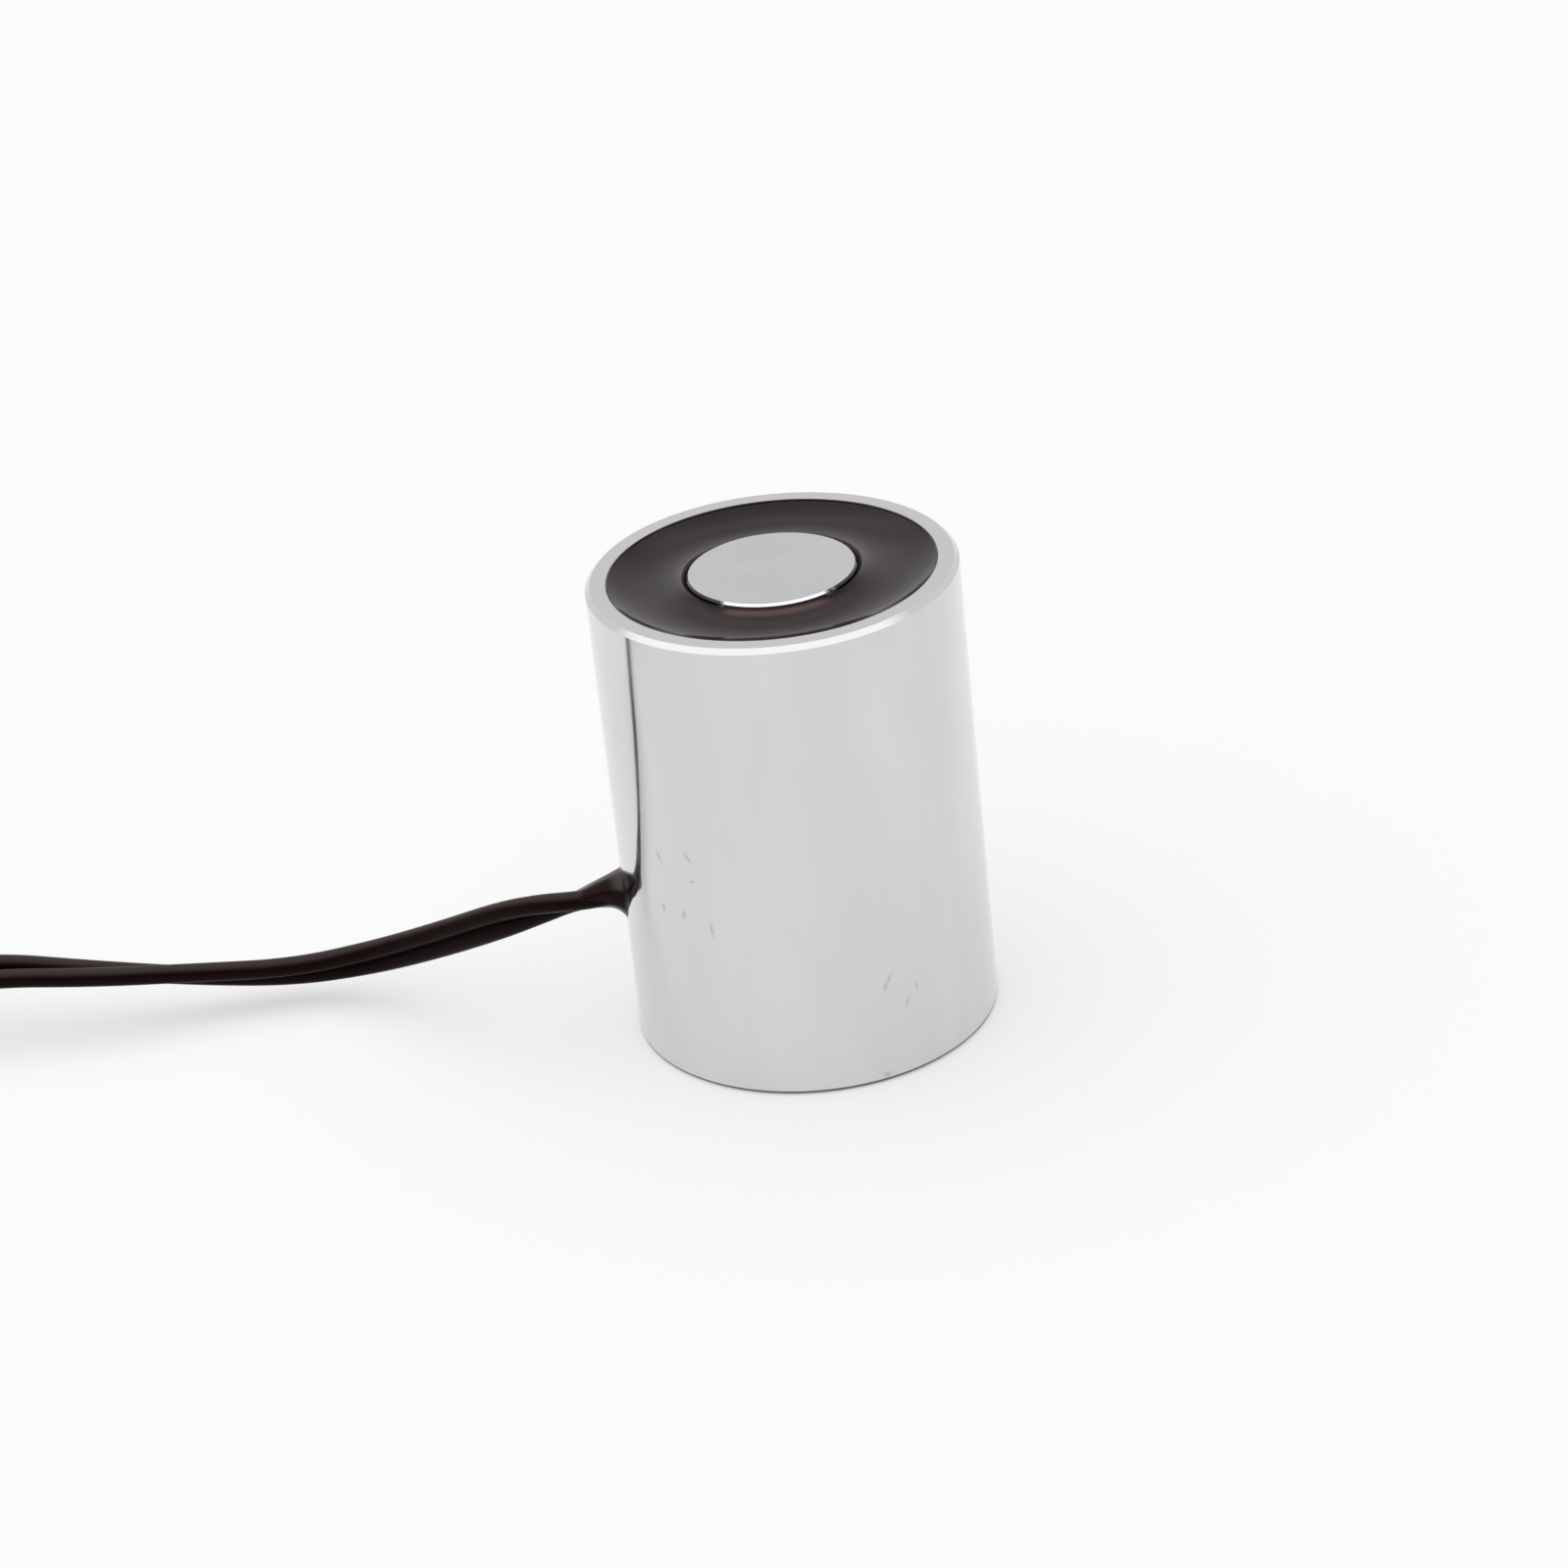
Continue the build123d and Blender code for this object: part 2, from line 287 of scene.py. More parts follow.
# the turns of the put-away coil, then the bend that brings the end into its eye
def coilPoints(height, lastAzimuth, tailTilt, tailHeight):
    first = leads["firstAzimuth"]
    steps = round((lastAzimuth - first) / 360 * leads["pointsPerTurn"])
    step = (lastAzimuth - first) / steps
    start, end = leads["movesIn"]
    points = []
    for i in range(steps):
        azimuth = first + (i + 0.5) * step
        inward = easing((azimuth - start) / (end - start))
        radius = leads["outerTurn"] + inward * (leads["innerTurn"] - leads["outerTurn"])
        radius /= math.cos(math.radians(step / 2))    # the spline runs inside its points
        a = math.radians(azimuth)
        points.append((radius * math.cos(a), radius * math.sin(a), height))
    bend, tailStep = leads["tailBend"], leads["tailTurn"] / leads["tailPoints"]
    outer = bend / math.cos(math.radians(tailStep / 2))
    tail = []
    for i in range(leads["tailPoints"]):
        a = math.radians((i + 0.5) * tailStep)
        tail.append(Vector((outer * math.cos(a) - bend, outer * math.sin(a), 0)))
    a = math.radians(leads["tailTurn"])
    tail.append(Vector((bend * math.cos(a) - bend, bend * math.sin(a), 0)))
    turnTo = Matrix.Rotation(math.radians(lastAzimuth), 4, "Z")
    shift = Matrix.Translation((leads["innerTurn"] + leads["tailInset"], 0, tailHeight))
    tilt = Matrix.Rotation(math.radians(tailTilt), 4, "Y")
    points += [turnTo @ shift @ tilt @ p for p in tail]
    eyeX, eyeY = leads["coilEye"]
    return [Vector((eyeX + x, eyeY + y, z)) for x, y, z in points]


# the glue at the exit: a plug in the drilled hole, a thin collar on the wall and a funnel drawn out
# round both leads, in mm
funnel = {
    # direction from one lead to the other
    "across": (0.0, -0.89, 0.46),
    # the line midway between the leads: distance from the wall, Y and Z
    "middle": ((-1.8, 0.0, 13.0), (1.5, 0.05, 12.69), (4.1, 0.62, 12.33)),
    # distance from the wall, lift, half width across both leads and half height
    "sections": (
        (-1.75, 0.0, 1.98, 1.98),
        (-0.30, 0.14, 1.98, 1.98),
        (-0.05, 0.05, 2.42, 2.34),
        (0.04, 0.09, 2.16, 2.10),
        (0.15, 0.16, 1.98, 1.93),
        (0.38, 0.29, 1.88, 1.75),
        (0.75, 0.39, 1.85, 1.53),
        (1.26, 0.42, 1.84, 1.34),
        (2.14, 0.34, 1.80, 1.14),
        (3.02, 0.20, 1.73, 0.96),
        (3.86, 0.0, 1.64, 0.85),
        (3.95, 0.0, 1.50, 0.70),
    ),
    "points": 32,
    "subdivisions": 2,
    # ridges: number round the funnel, height as a share of the radius and phase
    "ridges": ((3, 0.035, 1.0), (7, 0.02, 2.3)),
    "ridgesBeyond": 0.1,
    "flatBeyond": 1.5,        # where its sections no longer follow the round wall
}


# Y and Z of the place midway between the leads
def midway(away):
    middle = funnel["middle"]
    (a0, y0, z0), (a1, y1, z1) = middle[:2] if away < middle[1][0] else middle[1:]
    share = (away - a0) / (a1 - a0)
    return y0 + share * (y1 - y0), z0 + share * (z1 - z0)


def makeFunnel():
    across = Vector(funnel["across"]).normalized()
    upward = across.cross(Vector((1, 0, 0)))
    count, wallRadius = funnel["points"], housing["radius"]
    build = bmesh.new()
    rings = []
    for away, lift, halfWidth, halfHeight in funnel["sections"]:
        y, z = midway(away)
        flat = easing(away / funnel["flatBeyond"])
        ring = []
        for i in range(count):
            a = 2 * math.pi * i / count
            ridge = 1.0
            if away > funnel["ridgesBeyond"]:
                ridge += sum(height * math.sin(number * a + phase)
                             for number, height, phase in funnel["ridges"])
            side = across * (halfWidth * math.cos(a)) + upward * (halfHeight * math.sin(a))
            place = Vector((0, y, z + lift)) + side * ridge
            sag = wallRadius - math.sqrt(wallRadius ** 2 - place.y ** 2)
            place.x = -wallRadius - away + (1 - flat) * sag
            ring.append(build.verts.new(place * mm))
        rings.append(ring)
    for inner, outer in zip(rings, rings[1:]):
        for i in range(count):
            j = (i + 1) % count
            build.faces.new((inner[i], inner[j], outer[j], outer[i]))
    build.faces.new(rings[0])
    build.faces.new(rings[-1])
    bmesh.ops.recalc_face_normals(build, faces=build.faces)
    mesh = bpy.data.meshes.new("glueFunnel")
    build.to_mesh(mesh)
    build.free()
    mesh.shade_smooth()
    mesh.materials.append(glue)
    piece = bpy.data.objects.new("glueFunnel", mesh)
    smooth = piece.modifiers.new("smooth", "SUBSURF")
    smooth.levels = smooth.render_levels = funnel["subdivisions"]
    scene.collection.objects.link(piece)
    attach(piece, "root")
    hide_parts("lead_seal")
    return piece


def makeLead(name, route, coil, nodes, farEnd):
    points = [Vector((-housing["radius"] - away, y, z)) for away, y, z in route] + coil
    curve = bpy.data.curves.new(name, "CURVE")
    curve.dimensions = "3D"
    curve.bevel_depth = leads["diameter"] / 2 * mm
    curve.bevel_resolution = leads["roundSteps"]
    curve.use_fill_caps = True
    curve.resolution_u = leads["stepsAlong"]
    spline = curve.splines.new("NURBS")
    spline.points.add(len(points) - 1)
    for point, place in zip(spline.points, points):
        point.co = (*(place * mm), 1)
    spline.order_u = 3
    spline.use_endpoint_u = True
    spline.use_smooth = True
    piece = bpy.data.objects.new(name, curve)
    piece.data.materials.append(pvc)
    scene.collection.objects.link(piece)
    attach(piece, "root")
    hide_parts(*nodes)


# the stripped end: seven strands of a 22 AWG lead, twisted and tinned
strands = {
    "diameter": 0.253,      # mm
    "around": 6,            # and one in the middle
    "lay": 9.0,             # mm for one turn of the twist
    "length": 5.5,
    "steps": 14,
    "roundSteps": 3,
}


def makeStrands(name, coil, node):
    start = coil[-1]
    along = (start - coil[-2]).normalized()
    across = along.orthogonal().normalized()
    beside = along.cross(across)
    curve = bpy.data.curves.new(name, "CURVE")
    curve.dimensions = "3D"
    curve.bevel_depth = strands["diameter"] / 2 * mm
    curve.bevel_resolution = strands["roundSteps"]
    curve.use_fill_caps = True
    for strand in range(strands["around"] + 1):
        away = strands["diameter"] if strand else 0.0
        spline = curve.splines.new("POLY")
        spline.points.add(strands["steps"])
        for i, point in enumerate(spline.points):
            run = strands["length"] * i / strands["steps"]
            a = 2 * math.pi * (strand / strands["around"] + run / strands["lay"])
            place = start + run * along + away * (math.cos(a) * across + math.sin(a) * beside)
            point.co = (*(place * mm), 1)
    piece = bpy.data.objects.new(name, curve)
    piece.data.materials.append(tin)
    scene.collection.objects.link(piece)
    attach(piece, "root")
    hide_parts(node)
    return piece


# Hot glue: drawn out by hand while soft, so its skin is glossy and gently uneven, with a painted highlight
# on the upward-facing lip near the wall
glueSkin = {
    "colours": ("#1f0807", "#130403"),
    "paintedHighlight": "#4d4445",
    "paintedHighlightRadius": (16.4, 15.3),      # mm from the Z axis, from where the painted highlight begins to where it is full
    "paintedHighlightFrom": (0.2, 0.7),          # how far upward the surface faces there, the same
    "roughness": (0.10, 0.20),
    "grain": 0.9,                    # mm
    "relief": 0.12,
    "stretch": (3, 1, 1),            # drawn out along the leads
    "ior": 1.62,
    "shine": 0.06,
}


def makeGlue():
    material = mottled(
        "glueDrawnOut", glueSkin["colours"], glueSkin["roughness"], glueSkin["grain"], glueSkin["relief"],
        glueSkin["stretch"], IOR=glueSkin["ior"], Specular_IOR_Level=glueSkin["shine"])
    tree = material.node_tree
    baseColour = tree.nodes["Principled BSDF"].inputs["Base Color"]
    radius = radiusInMm(tree, placeInMm(tree))
    # painted highlight: a paler colour on the upward-facing lip near the wall, where the light from above
    # falls
    nearWall = addNode(tree, "MapRange", rising(*glueSkin["paintedHighlightRadius"]), {"Value": radius})
    above = addNode(tree, "MapRange", rising(*glueSkin["paintedHighlightFrom"]), {"Value": upwardness(tree)})
    paintedHighlightMask = addNode(tree, "Math", {"operation": "MULTIPLY"}, {0: nearWall.outputs[0], 1: above.outputs[0]})
    mottledColour = baseColour.links[0].from_socket
    tree.links.new(layOver(tree, mottledColour, (glueSkin["paintedHighlight"], paintedHighlightMask.outputs[0])), baseColour)
    return material


glue = makeGlue()
seal = makeFunnel()
pvc = makeLeadPvc()
# Tinned copper: dipped strands, bright with a slightly frosted skin
tin = mottled("tinnedCopper", ("#d2d2d1", "#b9b9b8"), roughness=(0.18, 0.32), grain=0.25, relief=0.02,
              Metallic=1.0)
lastA, lastB = leads["lastAzimuths"]
coilA = coilPoints(leads["lowLayer"], lastA, 0.0, leads["lowLayer"] + leads["tailInset"])
coilB = coilPoints(leads["highLayer"], lastB, leads["tailTilt"], leads["highLayer"] - leads["tailInset"])
makeLead("leadPrintedSide", routeA, coilA, ("lead_a", "lead_coil"),
         makeStrands("strandsPrintedSide", coilA, "lead_a_tinned_end"))
makeLead("leadPlainSide", routeB, coilB, ("lead_b", "lead_coil"),
         makeStrands("strandsPlainSide", coilB, "lead_b_tinned_end"))
print("leads laid")

# Nickel plate on turned and polished steel: a mirror with a faint cloudiness, greyer than chrome.
# The rim and the back are turned and less bright, the chamfer was cut last and is the brightest.
nickelPlate = {
    "colour": "#d8d8d8",
    "cloudy": "#d4d4d4",
    "endFace": "#c9c9cb",
    "chamfer": "#d2d2d2",
    "paintedFootShade": "#6a6a6e",         # painted shade along the lowest edge, next to the floor
    "paintedFootShadeHeight": (0.42, 0.34),    # mm, from where it begins to where it is full
    "roughness": (0.08, 0.12),
    "faceRoughness": 0.27,
    "cloud": (6.0, 24.0),          # mm across and along
    "cloudFrom": (0.35, 0.65),
    "chamferFrom": (0.35, 0.55),   # how level the surface lies where a chamfer begins and is full
    "faceFrom": (0.80, 0.95),      # the same for an end face
    "turning": 0.35,               # mm between rings, the real feed of 0.1 mm is too fine to show
    "turningRelief": 0.004,        # mm
    "turningBump": 0.12,
    "resinFilm": "#1c1213",        # where the potting wets the inner edge
    "filmRadius": (13.33, 13.30),  # mm, from where it begins to where it is full
    "knock": "#bfbfbf",
    "knockRoughness": 0.2,
    "knockDepth": 0.012,           # mm
    "knockBump": 0.3,
    "knockEdge": (1.9, 0.8),       # distance in half sizes plus noise, from the edge to full depth
    "ragged": 6.0,                 # grains of that noise per mm
}
# small knocks on the side: azimuth in degrees, height, length and width in mm, lean in degrees
knocks = [
    (-143.5, 20.4, 1.1, 0.35, -20),
    (-131.4, 21.1, 1.1, 0.32, -42),
    (-130.7, 19.0, 0.5, 0.25, 70),
    (-144.2, 15.7, 0.8, 0.40, 0),
    (-135.5, 15.7, 0.9, 0.40, 22),
    (-125.4, 14.9, 1.4, 0.30, -8),
    (-71.2, 9.3, 0.9, 0.30, 28),
    (-72.7, 8.7, 1.0, 0.36, 12),
    (-61.9, 7.8, 0.6, 0.26, 0),
    (-65.6, 6.7, 0.8, 0.30, 24),
    (-75.0, 0.7, 0.5, 0.60, 0),
]


# 1 inside any of the knocks, from the unrolled side in mm
def knockMask(tree, place):
    axes = addNode(tree, "SeparateXYZ", links={0: place.outputs[0]})
    azimuth = addNode(tree, "Math", {"operation": "ARCTAN2"}, {0: axes.outputs["Y"], 1: axes.outputs["X"]})
    arc = addNode(tree, "Math", {"operation": "MULTIPLY", 1: housing["radius"]}, {0: azimuth.outputs[0]})
    unrolled = addNode(tree, "CombineXYZ", links={"X": arc.outputs[0], "Y": axes.outputs["Z"]})
    ragged = addNode(tree, "TexNoise", {"Scale": nickelPlate["ragged"], "Detail": 2.0},
                     {"Vector": unrolled.outputs[0]})
    edge, full = nickelPlate["knockEdge"]
    mask = None
    for degrees, height, length, width, lean in knocks:
        own = addNode(tree, "Mapping", {
            "vector_type": "TEXTURE",
            "Location": (math.radians(degrees) * housing["radius"], height, 0),
            "Rotation": (0, 0, -math.radians(lean)),
            "Scale": (width / 2, length / 2, 1)}, {"Vector": unrolled.outputs[0]})
        away = addNode(tree, "VectorMath", {"operation": "LENGTH"}, {0: own.outputs[0]})
        uneven = addNode(tree, "Math", {"operation": "ADD"},
                         {0: away.outputs["Value"], 1: ragged.outputs["Fac"]})
        inside = addNode(tree, "MapRange", {"From Min": edge, "From Max": full},
                         {"Value": uneven.outputs[0]})
        if mask is None:
            mask = inside.outputs[0]
        else:
            mask = addNode(tree, "Math", {"operation": "MAXIMUM"},
                           {0: mask, 1: inside.outputs[0]}).outputs[0]
    return mask


def makeNickelPlate():
    material, tree, shader = newMaterial("nickelPlatedSteel")
    place = placeInMm(tree)
    across, along = nickelPlate["cloud"]
    stretched = addNode(tree, "Mapping", {"Scale": (1 / across, 1 / across, 1 / along)},
                        {"Vector": place.outputs[0]})
    cloud = addNode(tree, "TexNoise", {"Scale": 1.0, "Detail": 4.0}, {"Vector": stretched.outputs[0]})
    level = levelness(tree)
    radius = radiusInMm(tree, place)
    height = addNode(tree, "SeparateXYZ", links={0: place.outputs[0]}).outputs["Z"]
    clouded, onChamfer, onFace, film, low = [
        addNode(tree, "MapRange", rising(*nickelPlate[limits]), {"Value": value}).outputs[0]
        for limits, value in (("cloudFrom", cloud.outputs["Fac"]), ("chamferFrom", level),
                              ("faceFrom", level), ("filmRadius", radius), ("paintedFootShadeHeight", height))]
    # painted shade: the lowest edge darkened where it meets the floor
    footShadeMask = addNode(tree, "Math", {"operation": "SUBTRACT", "use_clamp": True}, {0: low, 1: onFace})
    knocked = knockMask(tree, place)
    colour = layOver(tree, nickelPlate["colour"],
                     (nickelPlate["cloudy"], clouded),
                     (nickelPlate["knock"], knocked),
                     (nickelPlate["chamfer"], onChamfer),
                     (nickelPlate["endFace"], onFace),
                     (nickelPlate["paintedFootShade"], footShadeMask.outputs[0]),
                     (nickelPlate["resinFilm"], film))
    tree.links.new(colour, shader.inputs["Base Color"])
    smooth, dull = nickelPlate["roughness"]
    plate = addNode(tree, "MapRange", {"To Min": smooth, "To Max": dull}, {"Value": clouded}).outputs[0]
    rough = layOver(tree, plate, (nickelPlate["knockRoughness"], knocked),
                    (nickelPlate["faceRoughness"], onFace))
    tree.links.new(rough, shader.inputs["Roughness"])
    tree.links.new(layOver(tree, 1.0, (0.0, film)), shader.inputs["Metallic"])
    rings = addNode(tree, "Math", {"operation": "MULTIPLY"},
                    {0: waveEvery(tree, radius, nickelPlate["turning"]), 1: onFace})
    turned = addNode(tree, "Bump", {"Strength": nickelPlate["turningBump"],
                                    "Distance": nickelPlate["turningRelief"] * mm},
                     {"Height": rings.outputs[0]})
    dented = addNode(tree, "Bump", {"Strength": nickelPlate["knockBump"],
                                    "Distance": -nickelPlate["knockDepth"] * mm},
                     {"Height": knocked, "Normal": turned.outputs[0]})
    tree.links.new(dented.outputs[0], shader.inputs["Normal"])
    return material


# Bare steel, faced on the lathe: fine rings of the tool that fan the light, resin left on its edge, and a
# painted highlight on the edge's clean stretch
facedSteel = {
    "colour": "#cacacc",
    "dull": "#c0c0c2",
    "roughness": 0.24,
    "anisotropy": 0.5,
    "fan": 0.35,                   # patches of the light's fan per mm
    "turning": 0.3,                # mm between rings, the real feed of 0.08 mm is too fine to show
    "turningRelief": 0.004,        # mm
    "turningBump": 0.10,
    "resinFilm": "#1d1112",
    "filmRoughness": 0.12,
    "edge": "#efefef",             # the broken edge, near-white: a painted highlight
    "edgeRadius": (6.68, 6.71),    # mm, from where it begins to where it is full, with the film outside it
    "cleanAt": -94.0,              # azimuth of the middle of the edge's clean stretch
    "cleanReach": 42.0,            # degrees to both sides
    "ragged": 0.25,                # how far the film's ends wander, as a cosine
    "raggedGrain": 0.9,            # per mm
    "filmFades": (0.10, 0.04),     # cosines in which it thins, toward the clean stretch and away from it
}


def makeFacedSteel():
    material, tree, shader = newMaterial("facedSteel", Anisotropic=facedSteel["anisotropy"])
    place = placeInMm(tree)
    radius = radiusInMm(tree, place)
    rings = waveEvery(tree, radius, facedSteel["turning"])
    fan = addNode(tree, "TexNoise", {"Scale": facedSteel["fan"], "Detail": 3.0, "Distortion": 0.6},
                  {"Vector": place.outputs[0]})
    outer = addNode(tree, "MapRange", rising(*facedSteel["edgeRadius"]), {"Value": radius}).outputs[0]
    patchy = addNode(tree, "TexNoise", {"Scale": facedSteel["raggedGrain"], "Detail": 2.0},
                     {"Vector": place.outputs[0]})
    shifted = addNode(tree, "Math", {"operation": "MULTIPLY_ADD", 1: facedSteel["ragged"]},
                      {0: patchy.outputs["Fac"], 2: cosineTo(tree, place, radius, facedSteel["cleanAt"])})
    limit = math.cos(math.radians(facedSteel["cleanReach"])) + facedSteel["ragged"] / 2
    inward, outward = facedSteel["filmFades"]
    smeared = addNode(tree, "MapRange", rising(limit + inward, limit - outward),
                      {"Value": shifted.outputs[0]})
    film = addNode(tree, "Math", {"operation": "MULTIPLY"}, {0: outer, 1: smeared.outputs[0]}).outputs[0]
    # the edge's near-white colour is a painted highlight, left only where the resin film is not
    colour = layOver(tree, facedSteel["dull"], (facedSteel["colour"], fan.outputs["Fac"]),
                     (facedSteel["edge"], outer), (facedSteel["resinFilm"], film))
    tree.links.new(colour, shader.inputs["Base Color"])
    tree.links.new(layOver(tree, 1.0, (0.0, film)), shader.inputs["Metallic"])
    rough = layOver(tree, facedSteel["roughness"], (facedSteel["filmRoughness"], film))
    tree.links.new(rough, shader.inputs["Roughness"])
    bump = addNode(tree, "Bump", {"Strength": facedSteel["turningBump"],
                                  "Distance": facedSteel["turningRelief"] * mm}, {"Height": rings})
    tree.links.new(bump.outputs[0], shader.inputs["Normal"])
    tangent = addNode(tree, "Tangent", {"direction_type": "RADIAL", "axis": "Z"})
    tree.links.new(tangent.outputs[0], shader.inputs["Tangent"])
    return material


# Cast epoxy: self-levelled and glossy, black with a red-brown cast where light gets in, and a painted
# reflection in front of the core's edge
epoxy = {
    "colour": "#1b0c10",
    "light": "#251216",
    "roughness": (0.08, 0.13),
    "ior": 1.68,
    "shine": 0.12,
    "cloud": 5.0,                 # mm
    "cloudFrom": (0.35, 0.7),
    "waviness": 7.0,              # mm
    "swell": 0.15,                # mm
    "swellBump": 0.5,
    "climb": 0.28,                # mm that it rises up the core
    "climbWidth": 0.25,           # mm in which that falls to about a third
    "glow": "#5e4a49",            # painted reflection of the core's bright edge, in front of it
    "paintedReflectionAt": -94.0,              # azimuth of its middle
    "paintedReflectionWidth": (40.0, 26.0),    # degrees to both sides, from where it begins to where it is full
    "paintedReflectionReach": (0.9, 0.2),      # mm from the core, the same
}


def makeEpoxy():
    material, tree, shader = newMaterial(
        "epoxyCastBlackBrown", IOR=epoxy["ior"], Specular_IOR_Level=epoxy["shine"])
    place = placeInMm(tree)
    cloud = addNode(tree, "TexNoise", {"Scale": 1 / epoxy["cloud"], "Detail": 4.0},
                    {"Vector": place.outputs[0]})
    clouded = addNode(tree, "MapRange", rising(*epoxy["cloudFrom"]),
                      {"Value": cloud.outputs["Fac"]}).outputs[0]
    radius = radiusInMm(tree, place)
    # painted reflection: a lighter colour in front of the core, where its bright edge is mirrored
    inFront = addNode(tree, "MapRange", rising(*[math.cos(math.radians(a)) for a in epoxy["paintedReflectionWidth"]]),
                      {"Value": cosineTo(tree, place, radius, epoxy["paintedReflectionAt"])})
    near = addNode(tree, "MapRange", rising(*[poleRadius + reach for reach in epoxy["paintedReflectionReach"]]),
                   {"Value": radius})
    glow = addNode(tree, "Math", {"operation": "MULTIPLY"}, {0: inFront.outputs[0], 1: near.outputs[0]})
    colour = layOver(tree, epoxy["colour"], (epoxy["light"], clouded), (epoxy["glow"], glow.outputs[0]))
    tree.links.new(colour, shader.inputs["Base Color"])
    low, high = epoxy["roughness"]
    rough = addNode(tree, "MapRange", {"To Min": low, "To Max": high}, {"Value": clouded})
    tree.links.new(rough.outputs[0], shader.inputs["Roughness"])
    swell = addNode(tree, "TexNoise", {"Scale": 1 / epoxy["waviness"], "Detail": 1.0},
                    {"Vector": place.outputs[0]})
    waved = addNode(tree, "Bump", {"Strength": epoxy["swellBump"], "Distance": epoxy["swell"] * mm},
                    {"Height": swell.outputs["Fac"]})
    width = epoxy["climbWidth"]
    away = addNode(tree, "Math", {"operation": "MULTIPLY_ADD", 1: -1 / width, 2: poleRadius / width},
                   {0: radius})
    climb = addNode(tree, "Math", {"operation": "EXPONENT"}, {0: away.outputs[0]})
    risen = addNode(tree, "Bump", {"Strength": 1.0, "Distance": epoxy["climb"] * mm},
                    {"Height": climb.outputs[0], "Normal": waved.outputs[0]})
    tree.links.new(risen.outputs[0], shader.inputs["Normal"])
    return material


# Enamelled copper: a clear brown-red varnish on drawn wire, the winding's turns show as fine bands, with
# painted shade in the grooves between them
copperWire = {
    "colour": "#b4552a",
    "paintedGrooveShade": "#5e2611",
    "grooveTo": (-1.0, -0.2),     # the wave's values between which a groove ends
    "roughness": 0.24,
    "wire": 0.3,                  # mm from turn to turn
    "relief": 0.06,               # mm
    "bump": 0.8,
}


def makeEnamelledCopper():
    material, tree, shader = newMaterial(
        "enamelledCopper", Metallic=1.0, Roughness=copperWire["roughness"])
    height = addNode(tree, "SeparateXYZ", links={0: placeInMm(tree).outputs[0]}).outputs["Z"]
    turns = waveEvery(tree, height, copperWire["wire"])
    onWire = addNode(tree, "MapRange", rising(*copperWire["grooveTo"]), {"Value": turns}).outputs[0]
    # painted shade: darker in the grooves between the turns
    colour = layOver(tree, copperWire["paintedGrooveShade"], (copperWire["colour"], onWire))
    tree.links.new(colour, shader.inputs["Base Color"])
    bump = addNode(tree, "Bump", {"Strength": copperWire["bump"], "Distance": copperWire["relief"] * mm},
                   {"Height": turns})
    tree.links.new(bump.outputs[0], shader.inputs["Normal"])
    return material


nickel = makeNickelPlate()
steel = makeFacedSteel()
resin = makeEpoxy()
copper = makeEnamelledCopper()
# Glass-filled nylon: moulded, milky, dull with a fine grain
nylon = mottled("nylonNatural", ("#ddd7c5", "#d0c8b2"), roughness=(0.42, 0.55), grain=0.4, relief=0.01)
# Polyester tape: a clear yellow film, smooth, with faint creases round the winding
tape = mottled("polyesterTape", ("#d9a52a", "#c9921c"), roughness=(0.14, 0.24), grain=1.0, relief=0.02,
               stretch=(4, 4, 1))
# Shrink sleeve: polyolefin, black and dull
sleeving = mottled("shrinkSleeve", ("#161616", "#101010"), roughness=(0.45, 0.55), grain=0.3, relief=0.01)
# Cable tie: moulded nylon, black, smooth with a satin shine
tieNylon = mottled("tieNylonBlack", ("#151515", "#0f0f0f"), roughness=(0.36, 0.46), grain=0.5, relief=0.01)

# the core, in mm: a pole with a broken edge, a shoulder, a pressed spigot and an M4 thread in its bore
core = {
    "edgeAcross": 0.16,
    "edgeDown": 0.18,
    "shoulder": 8.0,
    "spigotRadius": 4.0,
    "boreRadius": 1.65,
    "boreDepth": 7.0,
    "drillTip": 7.99,
    "mouthRadius": 2.2,
    "threadRadius": 2.0,
    "pitch": 0.7,
    "cut": 0.375,           # half of the cut, flanks included, as a share of the pitch
    "flank": 0.3125,
    "fullThread": 6.0,
    "segments": 96,
    "rowsPerPitch": 10,
    "sharpAngle": 28.0,     # degrees, an edge sharper than this isn't smoothed
}


# radius of the tapped bore: crest, flank and root of the thread, or the mouth's chamfer
def boreRadius(turn, height):
    phase = (height / core["pitch"] - turn) % 1.0
    cut = min(max((core["cut"] - abs(phase - 0.5)) / core["flank"], 0.0), 1.0)
    cut *= min(max((core["fullThread"] - height) / core["pitch"] + 1.0, 0.0), 1.0)
    threaded = core["boreRadius"] + (core["threadRadius"] - core["boreRadius"]) * cut
    return max(threaded, core["mouthRadius"] - height)


